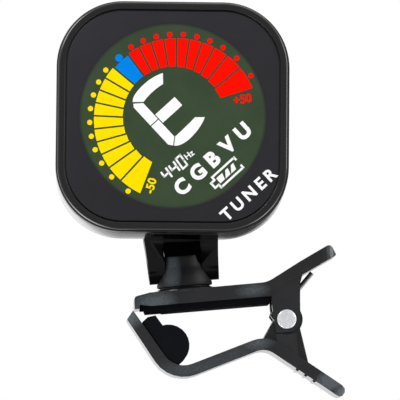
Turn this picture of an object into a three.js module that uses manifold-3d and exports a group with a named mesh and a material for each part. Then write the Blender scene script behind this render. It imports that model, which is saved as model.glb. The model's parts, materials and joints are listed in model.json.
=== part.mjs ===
// Clip-on tuner for an instrument's headstock, in millimetres with +Z up.
// The origin is on the upper pad's flat clamping face, straight below the neck's swivel axis, which is Z.
// X runs along the jaws towards the handles, and the display faces -Y.
import * as THREE from "three";
import { mergeVertices } from "three/addons/utils/BufferGeometryUtils.js";
import Module from "manifold-3d";

const wasm = await Module();
wasm.setup();
const { degToRad } = THREE.MathUtils;

// Clip
const CLIP_HALF_WIDTH = 6.75;
const PIVOT_X = 20.3;
const PIVOT_Z = -3.55;
const SHANK_RADIUS = 1.1;
const SHANK_HOLE = 1.25;
const EAR_OUTER = 6.45;
const EAR_INNER = 4.95;
const LOWER_EAR_OUTER = 4.65;
const LOWER_EAR_INNER = 3.15;
const GUSSET_ARC = 3.2;
const FLANGE_INNER = 5.45;
const WEB_UNDERSIDE = 2.4;
const WEB_TOP = 4.4;
const BOSS_TOP = 4.8;
const SCREW_HEAD_SEAT = 3.5;

// Lower arm: a bent strip whose middle line runs through these corners with these bend radii
const ARM_THICKNESS = 2.4;
const ARM_ROUTE = [
  { x: -11.9, z: -0.14 },
  { x: -4.2, z: -13.65, bend: 6.0 },
  { x: 15.69, z: -7.8, bend: 5.0 },
  { x: 29.8, z: -19.02 },
];
const BULB = { x: -4.53, z: -6.97, radius: 4.35 };
const LOWER_PAD_HALF_WIDTH = 6.3;
const PAD_GAP = 0.2;

// Torsion spring
const COIL_RADIUS = 2.1;
const WIRE_RADIUS = 0.5;
const COIL_HALF_LENGTH = 2.45;
const COIL_TURNS = 4;
const UPPER_LEG_END = { x: 26.5, z: 5.72 };
const LOWER_LEG_END = { x: 23.4, z: -11.65 };

// Neck
const KNUCKLE_FOOT = 5.1;
const KNUCKLE_TOP = 11.75;
const TILT_HEIGHT = 9.0;
const HEAD_TILT = degToRad(4.5);
const CHEEK_INNER = 3.85;
const CHEEK_RADIUS = 2.9;
const WEB_CLEARANCE = 5.4;
const YOKE_HALF_WIDTH = 7.8;
const YOKE_FRONT = -4.75;
const YOKE_BACK = -2.6;
const APRON_FRONT = -5.25;
const APRON_FOOT = 1.9;
const APRON_TOP = 4.7;
const RING_RADIUS = 17.0;
const RING_HOLE = 13.6;

// Head: depths are measured along its own Y, from the tilt pin's plane to the display
const HEAD_RISE = 29.3;
const HEAD_TURN = degToRad(5.4);
const HEAD_HALF = 24.0;
const HEAD_CORNER = 13.7;
const FRONT = -18.5;
const SEAM_FRONT = -15.1;
const SEAM_BACK = -14.9;
const BACK = -5.5;
const BACK_WALL = 1.6;
const CAVITY_HALF = 22.4;
const CAVITY_CORNER = 12.1;
const RIM = 1.2;
const WINDOW_HALF = 22.1;
const WINDOW_CORNER = 11.8;
const LEDGE = -17.0;
const LCD_RADIUS = 19.6;
const LCD_BACK = -14.85;
const BOARD_FRONT = -11.5;
const BOARD_BACK = -10.5;
const TURNTABLE_RADIUS = 13.3;
const TURNTABLE_BACK = -0.9;
const DOOR_RADIUS = 11.7;
const WELL_RADIUS = 10.8;
const WELL_FLOOR = -7.2;
const WELL_UNDERSIDE = -8.1;
const BATTERY_RADIUS = 10.0;
const BUTTON_PLACES = { power: -15.2, mode: 15.2 };
const BUTTON_HEIGHT = 15.2;
const BUTTON_RADIUS = 2.75;
const CASE_SCREWS = [
  { x: -9.5, z: 20.3 },
  { x: 9.5, z: 20.3 },
  { x: -16.0, z: -16.0 },
  { x: 16.0, z: -16.0 },
];

const FINISHES = {
  casing: { color: 0x1d1d1f, roughness: 0.42, metalness: 0.0 },
  clip_plastic: { color: 0x232325, roughness: 0.5, metalness: 0.0 },
  rubber: { color: 0x15171a, roughness: 0.85, metalness: 0.0 },
  window: { color: 0x0c0c0e, roughness: 0.12, metalness: 0.0 },
  display: { color: 0x3d4c38, roughness: 0.3, metalness: 0.0 },
  light_guide: { color: 0xe8e8e0, roughness: 0.4, metalness: 0.0 },
  board: { color: 0x14532d, roughness: 0.5, metalness: 0.0 },
  chip: { color: 0x19191b, roughness: 0.6, metalness: 0.0 },
  steel: { color: 0xc9cbce, roughness: 0.25, metalness: 1.0 },
  dark_steel: { color: 0x4b4c4f, roughness: 0.35, metalness: 1.0 },
  brass: { color: 0xc9a24b, roughness: 0.3, metalness: 1.0 },
  nylon: { color: 0x2a2a2c, roughness: 0.6, metalness: 0.0 },
};

// ---- Shape helpers ----

// Turns a closed geometry into a solid, with its faces turned outwards whichever way it was drawn.
function solid(geometry) {
  const bare = geometry.clone();
  bare.deleteAttribute("normal");
  bare.deleteAttribute("uv");
  const merged = mergeVertices(bare, 1e-4);
  const vertProperties = new Float32Array(merged.attributes.position.array);
  const triVerts = new Uint32Array(merged.index.array);
  if (signedVolume(vertProperties, triVerts) < 0) {
    triVerts.reverse();
  }
  return new wasm.Manifold(new wasm.Mesh({ numProp: 3, vertProperties, triVerts }));
}

function signedVolume(positions, index) {
  const [a, b, c] = [new THREE.Vector3(), new THREE.Vector3(), new THREE.Vector3()];
  let total = 0;
  for (let i = 0; i < index.length; i += 3) {
    a.fromArray(positions, index[i] * 3);
    b.fromArray(positions, index[i + 1] * 3);
    c.fromArray(positions, index[i + 2] * 3);
    total += a.dot(b.cross(c)) / 6;
  }
  return total;
}

function surface(shape) {
  const mesh = shape.getMesh();
  const geometry = new THREE.BufferGeometry();
  geometry.setAttribute("position", new THREE.BufferAttribute(mesh.vertProperties, 3));
  geometry.setIndex(new THREE.BufferAttribute(mesh.triVerts, 1));
  geometry.computeVertexNormals();
  return geometry;
}

function join(...shapes) {
  return shapes.reduce((whole, next) => whole.add(next));
}

function cut(shape, ...tools) {
  return tools.reduce((whole, tool) => whole.subtract(tool), shape);
}

function outline(points) {
  return new THREE.Shape(points.map((point) => new THREE.Vector2(point.x, point.z)));
}

function extruded(shape, depth) {
  return new THREE.ExtrudeGeometry(shape, { depth, bevelEnabled: false, curveSegments: 8 });
}

// An XZ outline, made solid from Y = low to Y = high.
function acrossY(shape, low, high) {
  return solid(extruded(shape, high - low).rotateX(Math.PI / 2).translate(0, high, 0));
}

// A YZ outline, made solid from X = low to X = high.
function acrossX(shape, low, high) {
  const turn = new THREE.Matrix4().makeBasis(
    new THREE.Vector3(0, 1, 0),
    new THREE.Vector3(0, 0, 1),
    new THREE.Vector3(1, 0, 0),
  );
  return solid(extruded(shape, high - low).applyMatrix4(turn).translate(low, 0, 0));
}

function alongZ(shape, low, high) {
  return solid(extruded(shape, high - low).translate(0, 0, low));
}

function box(xs, ys, zs) {
  const size = new THREE.BoxGeometry(xs[1] - xs[0], ys[1] - ys[0], zs[1] - zs[0]);
  return solid(size.translate((xs[0] + xs[1]) / 2, (ys[0] + ys[1]) / 2, (zs[0] + zs[1]) / 2));
}

// Profiles are [radius, place along the axis] pairs, starting and ending on the axis.
function revolved(profile, segments) {
  return new THREE.LatheGeometry(profile.map(([r, along]) => new THREE.Vector2(r, along)), segments);
}

function turnedY(profile, x, z, segments = 18) {
  return solid(revolved(profile, segments).translate(x, 0, z));
}

function turnedZ(profile, x, y, segments = 18) {
  return solid(revolved(profile, segments).rotateX(Math.PI / 2).translate(x, y, 0));
}

function cylinderY(radius, low, high, x, z, segments = 18) {
  return turnedY([[0, low], [radius, low], [radius, high], [0, high]], x, z, segments);
}

function cylinderZ(radius, low, high, x, y, segments = 18) {
  return turnedZ([[0, low], [radius, low], [radius, high], [0, high]], x, y, segments);
}

function cylinderX(radius, low, high, y, z, segments = 18) {
  const rod = new THREE.CylinderGeometry(radius, radius, high - low, segments);
  return solid(rod.rotateZ(Math.PI / 2).translate((low + high) / 2, y, z));
}

// A square with round corners, as points going round it.
function roundedSquare(half, corner, steps = 6) {
  const points = [];
  const centre = half - corner;
  for (let quarter = 0; quarter < 4; quarter += 1) {
    const cx = quarter === 0 || quarter === 3 ? centre : -centre;
    const cz = quarter < 2 ? centre : -centre;
    for (let step = 0; step <= steps; step += 1) {
      const angle = (quarter + step / steps) * (Math.PI / 2);
      points.push({ x: cx + corner * Math.cos(angle), z: cz + corner * Math.sin(angle) });
    }
  }
  return points;
}

// A solid through convex outlines at successive depths along Y, all with the same number of points.
function lofted(sections) {
  const count = sections[0].points.length;
  const positions = sections.flatMap(({ y, points }) => points.flatMap(({ x, z }) => [x, y, z]));
  const index = [];
  for (let ring = 0; ring + 1 < sections.length; ring += 1) {
    for (let i = 0; i < count; i += 1) {
      const a = ring * count + i;
      const b = ring * count + ((i + 1) % count);
      index.push(a, b, b + count, a, b + count, a + count);
    }
  }
  const last = (sections.length - 1) * count;
  for (let i = 1; i + 1 < count; i += 1) {
    index.push(0, i + 1, i);
    index.push(last, last + i, last + i + 1);
  }
  const geometry = new THREE.BufferGeometry();
  geometry.setAttribute("position", new THREE.Float32BufferAttribute(positions, 3));
  geometry.setIndex(index);
  return solid(geometry);
}

// A head shell's outer form: straight walls from `seam`, rounded over at `face` by RIM.
function shellForm(seam, face) {
  const inward = Math.sign(seam - face);
  const sections = [{ y: seam, points: roundedSquare(HEAD_HALF, HEAD_CORNER) }];
  for (let step = 0; step <= 2; step += 1) {
    const angle = (step / 2) * (Math.PI / 2);
    const inset = RIM * (1 - Math.cos(angle));
    const y = face + inward * RIM * (1 - Math.sin(angle));
    sections.push({ y, points: roundedSquare(HEAD_HALF - inset, HEAD_CORNER - inset) });
  }
  return lofted(sections);
}

// Points along a route at a distance to its left, with the bends drawn as arcs.
function besideRoute(route, offset, steps = 6) {
  const points = [];
  for (let i = 0; i < route.length; i += 1) {
    const corner = new THREE.Vector2(route[i].x, route[i].z);
    const before = i > 0 ? heading(route[i - 1], route[i]) : heading(route[i], route[i + 1]);
    const after = i + 1 < route.length ? heading(route[i], route[i + 1]) : before;
    if (!route[i].bend) {
      points.push({ x: corner.x - before.y * offset, z: corner.y + before.x * offset });
      continue;
    }
    const turn = Math.atan2(before.cross(after), before.dot(after));
    const side = Math.sign(turn);
    const reach = route[i].bend * Math.tan(Math.abs(turn) / 2);
    const centre = corner.clone().addScaledVector(before, -reach);
    centre.add(new THREE.Vector2(-before.y, before.x).multiplyScalar(side * route[i].bend));
    const radius = route[i].bend - side * offset;
    const start = Math.atan2(-side * before.x, side * before.y);
    for (let step = 0; step <= steps; step += 1) {
      const angle = start + (turn * step) / steps;
      points.push({ x: centre.x + radius * Math.cos(angle), z: centre.y + radius * Math.sin(angle) });
    }
  }
  return points;
}

function heading(from, to) {
  return new THREE.Vector2(to.x - from.x, to.z - from.z).normalize();
}

function piece(name, finish, shape) {
  const mesh = new THREE.Mesh(surface(shape), new THREE.MeshStandardMaterial(FINISHES[finish]));
  mesh.name = name;
  return mesh;
}

// ---- Clip ----

function upperWeb() {
  const side = new THREE.Shape();
  side.moveTo(-10.9, 1.04);
  side.lineTo(-10.8, 3.0);
  side.quadraticCurveTo(-10.7, 3.75, -9.9, 3.8);
  side.lineTo(-7.45, WEB_TOP - 0.15);
  side.lineTo(15.6, WEB_TOP);
  side.quadraticCurveTo(17.0, WEB_TOP, 18.2, 5.06);
  side.lineTo(24.0, 8.1);
  side.lineTo(29.9, 10.93);
  side.quadraticCurveTo(30.75, 11.2, 31.15, 10.35);
  side.lineTo(31.7, 9.1);
  side.quadraticCurveTo(31.7, 8.8, 31.2, 8.59);
  side.lineTo(24.0, 5.17);
  side.lineTo(18.8, 2.75);
  side.quadraticCurveTo(18.0, WEB_UNDERSIDE, 17.2, WEB_UNDERSIDE);
  side.lineTo(-9.85, WEB_UNDERSIDE);
  side.lineTo(-9.85, 1.04);
  return acrossY(side, -CLIP_HALF_WIDTH, CLIP_HALF_WIDTH);
}

function flange(side) {
  const wall = outline([
    { x: -7.4, z: 1.45 },
    { x: 17.5, z: 1.45 },
    { x: 18.0, z: 3.4 },
    { x: 15.6, z: WEB_TOP - 0.3 },
    { x: -10.4, z: WEB_TOP - 0.9 },
    { x: -10.4, z: 2.0 },
  ]);
  const [low, high] = [FLANGE_INNER, CLIP_HALF_WIDTH].map((y) => y * side).sort((a, b) => a - b);
  return acrossY(wall, low, high);
}

function upperEar(side) {
  const ear = new THREE.Shape();
  ear.moveTo(17.6, 2.1);
  ear.lineTo(17.5, -0.8);
  ear.lineTo(17.66, -3.5);
  ear.lineTo(17.95, -6.25);
  ear.lineTo(21.4, -6.25);
  ear.absarc(PIVOT_X, PIVOT_Z, 2.85, degToRad(-67), degToRad(-9), false);
  ear.lineTo(23.4, 0.1);
  ear.lineTo(23.7, 3.6);
  ear.lineTo(24.5, 5.8);
  ear.lineTo(23.2, 6.6);
  ear.lineTo(17.8, 3.6);
  const [low, high] = [EAR_INNER, EAR_OUTER].map((y) => y * side).sort((a, b) => a - b);
  return acrossY(ear, low, high);
}

// The clip's outline from above: round corners at the jaw tip and wider ones at the handle.
function planOutline() {
  const half = CLIP_HALF_WIDTH;
  const plan = new THREE.Shape();
  plan.moveTo(-9.4, -half);
  plan.lineTo(27.8, -half);
  plan.quadraticCurveTo(32.2, -half, 32.2, -half + 4.4);
  plan.lineTo(32.2, half - 4.4);
  plan.quadraticCurveTo(32.2, half, 27.8, half);
  plan.lineTo(-9.4, half);
  plan.quadraticCurveTo(-13.4, half, -13.4, half - 3.4);
  plan.lineTo(-13.4, -half + 3.4);
  plan.quadraticCurveTo(-13.4, -half, -9.4, -half);
  return plan;
}

function upperJaw() {
  const boss = turnedZ([[0, 3.8], [7.0, 3.8], [6.8, WEB_TOP], [5.7, BOSS_TOP], [0, BOSS_TOP]], 0, 0, 24);
  const body = join(upperWeb(), flange(1), flange(-1), upperEar(1), upperEar(-1));
  const trimmed = join(body.intersect(alongZ(planOutline(), -25, 15)), boss);
  return cut(
    trimmed,
    cylinderY(SHANK_HOLE, -8, 8, PIVOT_X, PIVOT_Z),
    cylinderZ(1.4, 0, 8, 0, 0),
    cylinderZ(3.0, 0, SCREW_HEAD_SEAT, 0, 0),
  );
}

// The clamping face starts at a small step, so that it ends before the lower pad's foot.
function upperPad() {
  const pad = outline([
    { x: -9.7, z: 0.9 },
    { x: -8.9, z: 0.9 },
    { x: -8.7, z: 0.15 },
    { x: -5.4, z: 0.15 },
    { x: -5.25, z: 0 },
    { x: 17.1, z: 0 },
    { x: 17.3, z: 0.3 },
    { x: 17.3, z: WEB_UNDERSIDE - 0.2 },
    { x: -9.7, z: WEB_UNDERSIDE - 0.2 },
  ]);
  return acrossY(pad, -5.3, 5.3);
}

function armShape() {
  const half = ARM_THICKNESS / 2;
  const inner = besideRoute(ARM_ROUTE, half);
  const outer = besideRoute(ARM_ROUTE, -half).reverse();
  const handleEnd = [
    { x: 31.1, z: -18.8 },
    { x: 31.05, z: -19.6 },
    { x: 30.5, z: -20.3 },
    { x: 29.8, z: -20.45 },
  ];
  inner[0] = { x: -11.24, z: 0.86 };
  outer[outer.length - 1] = { x: -12.63, z: -0.89 };
  return outline([...inner, ...handleEnd, ...outer]);
}

function lowerEar(side) {
  const ear = new THREE.Shape();
  ear.moveTo(14.8, -8.2);
  ear.lineTo(15.17, -7.27);
  ear.lineTo(17.66, -3.54);
  ear.absarc(PIVOT_X, PIVOT_Z, 3.4, degToRad(162), degToRad(-38), true);
  ear.lineTo(24.05, -12.7);
  ear.lineTo(23.0, -13.4);
  ear.lineTo(17.1, -9.2);
  const [low, high] = [LOWER_EAR_INNER, LOWER_EAR_OUTER].map((y) => y * side).sort((a, b) => a - b);
  return acrossY(ear, low, high);
}

function gusset(side) {
  const block = new THREE.Shape();
  block.moveTo(17.8, -9.2);
  block.lineTo(17.8, -6.5);
  block.lineTo(19.0, -6.5);
  block.absarc(PIVOT_X, PIVOT_Z, GUSSET_ARC, degToRad(-113), degToRad(-67), false);
  block.lineTo(22.1, -6.5);
  block.lineTo(22.1, -12.4);
  const [low, high] = [LOWER_EAR_OUTER - 0.5, EAR_OUTER].map((y) => y * side).sort((a, b) => a - b);
  return acrossY(block, low, high);
}

// Three low ribs across the lower handle's outer face, where a thumb presses.
function gripRibs() {
  const along = heading(ARM_ROUTE[2], ARM_ROUTE[3]);
  const ribs = [];
  for (let i = 0; i < 3; i += 1) {
    const reach = 8.6 + i * 2.1;
    const x = ARM_ROUTE[2].x + along.x * reach + along.y * (ARM_THICKNESS / 2);
    const z = ARM_ROUTE[2].z + along.y * reach - along.x * (ARM_THICKNESS / 2);
    ribs.push(cylinderY(0.35, -5.2, 5.2, x, z, 8));
  }
  return join(...ribs);
}

function lowerJaw() {
  const arm = acrossY(armShape(), -CLIP_HALF_WIDTH, CLIP_HALF_WIDTH);
  const trimmed = arm.intersect(alongZ(planOutline(), -25, 15));
  const body = join(trimmed, lowerEar(1), lowerEar(-1), gusset(1), gusset(-1), gripRibs());
  return cut(body, cylinderY(SHANK_HOLE, -8, 8, PIVOT_X, PIVOT_Z));
}

// Soft bulb with a foot that runs up the arm to the jaw's tip, fitted to the arm's inner face.
function lowerPad() {
  const half = LOWER_PAD_HALF_WIDTH;
  const foot = outline([
    { x: -10.0, z: -2.2 },
    { x: -9.55, z: -1.7 },
    { x: -8.29, z: -0.75 },
    { x: -6.7, z: -0.55 },
    { x: -5.4, z: -2.7 },
    { x: BULB.x, z: BULB.z },
    { x: -8.8, z: -7.4 },
  ]);
  const reach = besideRoute(ARM_ROUTE, ARM_THICKNESS / 2 + PAD_GAP, 8);
  const insideArm = outline([...reach.slice(0, -1), { x: 15.6, z: 6 }, { x: -9.4, z: 6 }]);
  const bulb = cylinderY(BULB.radius, -half, half, BULB.x, BULB.z, 24);
  return join(bulb, acrossY(foot, -half, half)).intersect(acrossY(insideArm, -10, 10));
}

function pivotRivet() {
  const profile = [
    [0, -7.05],
    [1.1, -7.0],
    [1.7, -6.85],
    [2.0, -6.6],
    [SHANK_RADIUS, -6.6],
    [SHANK_RADIUS, 7.0],
    [0, 7.0],
  ];
  return turnedY(profile, PIVOT_X, PIVOT_Z);
}

function rivetCollar() {
  const disc = turnedY([[0, 6.6], [2.0, 6.6], [1.8, 7.05], [0, 7.05]], PIVOT_X, PIVOT_Z);
  return cut(disc, cylinderY(SHANK_HOLE, 6, 8, PIVOT_X, PIVOT_Z));
}

// The direction from the pivot at which a straight leg to `end` leaves the coil.
function legAngle(end, side) {
  const reach = Math.hypot(end.x - PIVOT_X, end.z - PIVOT_Z);
  const towards = Math.atan2(end.z - PIVOT_Z, end.x - PIVOT_X);
  return towards + side * Math.acos(COIL_RADIUS / reach);
}

function torsionSpring() {
  const start = legAngle(LOWER_LEG_END, -1);
  const finish = legAngle(UPPER_LEG_END, 1) - Math.PI * 2 * (COIL_TURNS + 1);
  const steps = 18 * COIL_TURNS;
  const points = [];
  for (let i = 0; i <= steps; i += 1) {
    const angle = start + ((finish - start) * i) / steps;
    const y = COIL_HALF_LENGTH * (1 - (2 * i) / steps);
    const x = PIVOT_X + COIL_RADIUS * Math.cos(angle);
    points.push(new THREE.Vector3(x, y, PIVOT_Z + COIL_RADIUS * Math.sin(angle)));
  }
  const lowerEnd = new THREE.Vector3(LOWER_LEG_END.x, COIL_HALF_LENGTH, LOWER_LEG_END.z);
  const upperEnd = new THREE.Vector3(UPPER_LEG_END.x, -COIL_HALF_LENGTH, UPPER_LEG_END.z);
  const legPoints = (from, to) => [0.25, 0.5, 0.75].map((part) => from.clone().lerp(to, part));
  const route = [
    lowerEnd,
    ...legPoints(lowerEnd, points[0]),
    ...points,
    ...legPoints(points[steps], upperEnd),
    upperEnd,
  ];
  const section = new THREE.Shape();
  section.absarc(0, 0, WIRE_RADIUS, 0, Math.PI * 2, false);
  const wire = new THREE.ExtrudeGeometry(section, {
    steps: 84,
    curveSegments: 3,
    extrudePath: new THREE.CatmullRomCurve3(route),
  });
  return solid(wire);
}

// ---- Neck ----

function knuckle() {
  const profile = [
    [0, KNUCKLE_FOOT],
    [5.65, KNUCKLE_FOOT],
    [5.75, 5.6],
    [5.6, 6.6],
    [5.2, 7.7],
    [4.55, 9.0],
    [4.3, 10.1],
    [4.25, 11.4],
    [3.95, KNUCKLE_TOP],
    [0, KNUCKLE_TOP],
  ];
  const reliefs = [-1, 1].map((side) => {
    const [low, high] = [3.7, 8].map((x) => x * side).sort((a, b) => a - b);
    return join(
      cylinderX(3.2, low, high, 0, TILT_HEIGHT, 24),
      box([low, high], [-6, 6], [TILT_HEIGHT, 13]),
      box([low, high], [0, 6], [5.8, TILT_HEIGHT + 1]),
    );
  });
  return cut(
    turnedZ(profile, 0, 0, 24),
    ...reliefs,
    cylinderX(SHANK_HOLE, -8, 8, 0, TILT_HEIGHT),
    cylinderZ(1.35, 4, 7.4, 0, 0),
  );
}

function swivelScrew() {
  const profile = [[0, 2.55], [2.75, 2.55], [2.75, 3.35], [1.2, 3.35], [1.2, 7.2], [0, 7.2]];
  const slots = [box([-0.3, 0.3], [-1.6, 1.6], [2, 2.9]), box([-1.6, 1.6], [-0.3, 0.3], [2, 2.9])];
  return cut(turnedZ(profile, 0, 0), ...slots);
}

function swivelWasher() {
  const disc = cylinderZ(5.2, BOSS_TOP + 0.05, KNUCKLE_FOOT - 0.05, 0, 0, 24);
  return cut(disc, cylinderZ(1.4, 4, 6, 0, 0));
}

// Side view of the yoke in the tilt pin's frame: round about the pin, leaning forward into the arm.
function yokeSide() {
  const side = new THREE.Shape();
  side.moveTo(-CHEEK_RADIUS, 0);
  side.absarc(0, 0, CHEEK_RADIUS, Math.PI, Math.PI * 2, false);
  side.lineTo(CHEEK_RADIUS, 2.2);
  side.quadraticCurveTo(CHEEK_RADIUS, 6.0, -0.6, 8.6);
  side.quadraticCurveTo(YOKE_BACK, 10.0, YOKE_BACK, 12.0);
  side.lineTo(YOKE_BACK, 15.0);
  side.lineTo(YOKE_FRONT, 15.0);
  side.lineTo(YOKE_FRONT, 6.5);
  return side;
}

// The apron between the cheeks closes the view over the knuckle from the front.
function yoke() {
  const front = outline([
    { x: -7.2, z: -3.5 },
    { x: 7.2, z: -3.5 },
    { x: YOKE_HALF_WIDTH, z: 6.0 },
    { x: YOKE_HALF_WIDTH, z: 9.0 },
    { x: 10.5, z: 16.0 },
    { x: -10.5, z: 16.0 },
    { x: -YOKE_HALF_WIDTH, z: 9.0 },
    { x: -YOKE_HALF_WIDTH, z: 6.0 },
  ]);
  const neck = acrossX(yokeSide(), -11, 11).intersect(acrossY(front, -8, 8));
  const slot = join(
    cylinderX(WEB_CLEARANCE, -CHEEK_INNER, CHEEK_INNER, 0, 0, 28),
    box([-CHEEK_INNER, CHEEK_INNER], [-6, 6], [-4, 0.5]),
  );
  const apronSide = outline([
    { x: APRON_FRONT, z: APRON_FOOT },
    { x: -4.6, z: APRON_FOOT + 0.2 },
    { x: -3.6, z: APRON_FOOT + 1.8 },
    { x: -3.6, z: APRON_TOP },
    { x: APRON_FRONT, z: APRON_TOP },
  ]);
  const apron = acrossX(apronSide, -CHEEK_INNER - 0.4, CHEEK_INNER + 0.4);
  const ring = cylinderY(RING_RADIUS, YOKE_FRONT, YOKE_BACK, 0, HEAD_RISE, 40);
  return cut(
    join(cut(neck, slot), apron, ring),
    cylinderY(RING_HOLE, -8, 2, 0, HEAD_RISE, 40),
    cylinderX(SHANK_HOLE, -9, 9, 0, 0),
    cylinderX(2.0, 6.5, 9, 0, 0),
    cylinderX(2.0, -9, -6.5, 0, 0),
  );
}

function tiltPin() {
  const body = join(cylinderX(SHANK_RADIUS, -6.95, 6.9, 0, 0), cylinderX(1.75, 6.65, 7.0, 0, 0));
  return cut(body, box([6.8, 8], [-0.25, 0.25], [-2, 2]));
}

function frictionWasher() {
  const disc = cylinderY(RING_RADIUS - 0.2, BACK + 0.2, YOKE_FRONT - 0.15, 0, HEAD_RISE, 40);
  return cut(disc, cylinderY(RING_HOLE, -8, 2, 0, HEAD_RISE, 40));
}

// ---- Head ----

function frontBezel() {
  const posts = CASE_SCREWS.map(({ x, z }) => cylinderY(1.8, -12.5 - 4, -12.5, x, z, 12));
  const body = join(shellForm(SEAM_FRONT, FRONT), ...posts);
  const pocket = acrossY(outline(roundedSquare(WINDOW_HALF + 0.15, WINDOW_CORNER + 0.15)), -20, LEDGE);
  const pilots = CASE_SCREWS.map(({ x, z }) => cylinderY(1.05, -16.4, -12, x, z, 12));
  return cut(body, pocket, cylinderY(LCD_RADIUS + 0.4, -20, -10, 0, 0, 28), ...pilots);
}

function displayWindow() {
  return acrossY(outline(roundedSquare(WINDOW_HALF, WINDOW_CORNER)), -18.3, LEDGE - 0.15);
}

function lcdPanel() {
  return cylinderY(LCD_RADIUS, -16.85, LCD_BACK, 0, 0, 36);
}

function backlightPanel() {
  const disc = cylinderY(19.3, -14.6, -13.0, 0, 0, 36);
  return disc.intersect(box([-20, 20], [-20, -10], [-16.0, 17.4]));
}

function circuitBoard() {
  const board = acrossY(outline(roundedSquare(21.9, 11.6)), BOARD_FRONT, BOARD_BACK);
  const notches = CASE_SCREWS.map(({ x, z }) => cylinderY(2.6, -13, -9, x, z, 12));
  return cut(board, ...notches);
}

function backCase() {
  const bosses = CASE_SCREWS.map(({ x, z }) => cylinderY(2.3, -12.2, BACK - 1, x, z, 12));
  const cavity = acrossY(outline(roundedSquare(CAVITY_HALF, CAVITY_CORNER)), -20, BACK - BACK_WALL);
  const turntable = turnedY(
    [
      [0, WELL_UNDERSIDE],
      [12.2, WELL_UNDERSIDE],
      [12.2, BACK - 0.5],
      [TURNTABLE_RADIUS, BACK - 0.5],
      [TURNTABLE_RADIUS, -2.5],
      [12.75, -2.5],
      [12.75, -1.65],
      [TURNTABLE_RADIUS, -1.65],
      [TURNTABLE_RADIUS - 0.3, TURNTABLE_BACK],
      [0, TURNTABLE_BACK],
    ],
    0,
    0,
    36,
  );
  const screwHoles = CASE_SCREWS.map(({ x, z }) =>
    join(cylinderY(1.15, -14, -4, x, z, 12), cylinderY(2.0, -6.7, -4, x, z, 12)),
  );
  const buttonHoles = Object.values(BUTTON_PLACES).map((x) => cylinderY(3.05, -9, -4, x, BUTTON_HEIGHT));
  return cut(
    join(cut(shellForm(SEAM_BACK, BACK), cavity), turntable, ...bosses),
    cylinderY(DOOR_RADIUS + 0.3, -3.1, 1, 0, 0, 36),
    cylinderY(WELL_RADIUS, WELL_FLOOR, 1, 0, 0, 36),
    box([5.6, 6.7], [-10, -6], [-2.4, 2.4]),
    box([-10.7, -10.05], [-10, -6], [-1.8, 1.8]),
    ...screwHoles,
    ...buttonHoles,
  );
}

function batteryDoor() {
  const disc = cylinderY(DOOR_RADIUS, -2.9, -1.1, 0, 0, 36);
  return cut(disc, box([-5.0, 5.0], [-2.1, 1], [-0.9, 0.9]));
}

function battery() {
  const cap = [[0, -6.4], [9.2, -6.4], [9.4, -6.1]];
  return turnedY([...cap, [BATTERY_RADIUS, -6.1], [BATTERY_RADIUS, -3.2], [0, -3.2]], 0, 0, 36);
}

// Spring leaf under the cell, with a leg down through the well's floor to the board.
function negativeContact() {
  const leaf = new THREE.Shape();
  leaf.moveTo(-5.0, -7.05);
  leaf.lineTo(-1.5, -6.8);
  leaf.lineTo(1.5, -6.8);
  leaf.lineTo(5.9, -7.05);
  leaf.lineTo(5.9, -10.25);
  leaf.lineTo(6.3, -10.25);
  leaf.lineTo(6.3, -6.75);
  leaf.lineTo(1.6, -6.55);
  leaf.lineTo(-1.6, -6.55);
  leaf.lineTo(-5.0, -6.8);
  return alongZ(leaf, -2.0, 2.0);
}

function positiveContact() {
  return box([-10.5, -10.25], [-10.25, -4.0], [-1.5, 1.5]);
}

function caseScrew({ x, z }) {
  const tip = [[0, -16.1], [0.6, -16.1], [0.9, -15.7]];
  const head = [[0.9, -6.55], [1.75, -6.55], [1.6, -5.85], [0, -5.85]];
  const recess = [box([x - 1.1, x + 1.1], [-6.3, -5], [z - 0.25, z + 0.25])];
  recess.push(box([x - 0.25, x + 0.25], [-6.3, -5], [z - 1.1, z + 1.1]));
  return cut(turnedY([...tip, ...head], x, z, 12), ...recess);
}

function pushButton(x) {
  const profile = [[0, -7.8], [3.6, -7.8], [3.6, -7.35], [BUTTON_RADIUS, -7.35], [BUTTON_RADIUS, -5.25]];
  return turnedY([...profile, [2.5, -5.05], [0, -5.0]], x, BUTTON_HEIGHT, 28);
}

function tactSwitch(x) {
  const low = BOARD_BACK + 0.2;
  const body = box([x - 2.25, x + 2.25], [low, -8.9], [BUTTON_HEIGHT - 2.25, BUTTON_HEIGHT + 2.25]);
  return join(body, cylinderY(1.2, -9.2, -8.5, x, BUTTON_HEIGHT, 16));
}

// A C-shaped clip that sits in the turntable's groove behind the yoke's ring.
function retainingRing() {
  const gap = degToRad(14);
  const ring = new THREE.Shape();
  const [first, last] = [-Math.PI / 2 + gap, (Math.PI * 3) / 2 - gap];
  ring.absarc(0, 0, 15.2, first, last, false);
  ring.absarc(0, 0, 12.95, last, first, true);
  const geometry = new THREE.ExtrudeGeometry(ring, { depth: 0.6, bevelEnabled: false, curveSegments: 24 });
  return solid(geometry.rotateX(Math.PI / 2).translate(0, -1.8, 0));
}

// ---- Assembly ----

function clipGroup() {
  const group = new THREE.Group();
  group.add(
    piece("upper_jaw", "clip_plastic", upperJaw()),
    piece("upper_pad", "rubber", upperPad()),
    piece("lower_jaw", "clip_plastic", lowerJaw()),
    piece("lower_pad", "rubber", lowerPad()),
    piece("pivot_rivet", "steel", pivotRivet()),
    piece("rivet_collar", "steel", rivetCollar()),
    piece("torsion_spring", "steel", torsionSpring()),
    piece("swivel_washer", "nylon", swivelWasher()),
  );
  return group;
}

// Everything that swivels on the clip but does not tilt.
function neckGroup() {
  const group = new THREE.Group();
  group.add(
    piece("swivel_screw", "dark_steel", swivelScrew()),
    piece("neck_knuckle", "clip_plastic", knuckle()),
  );
  return group;
}

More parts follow.
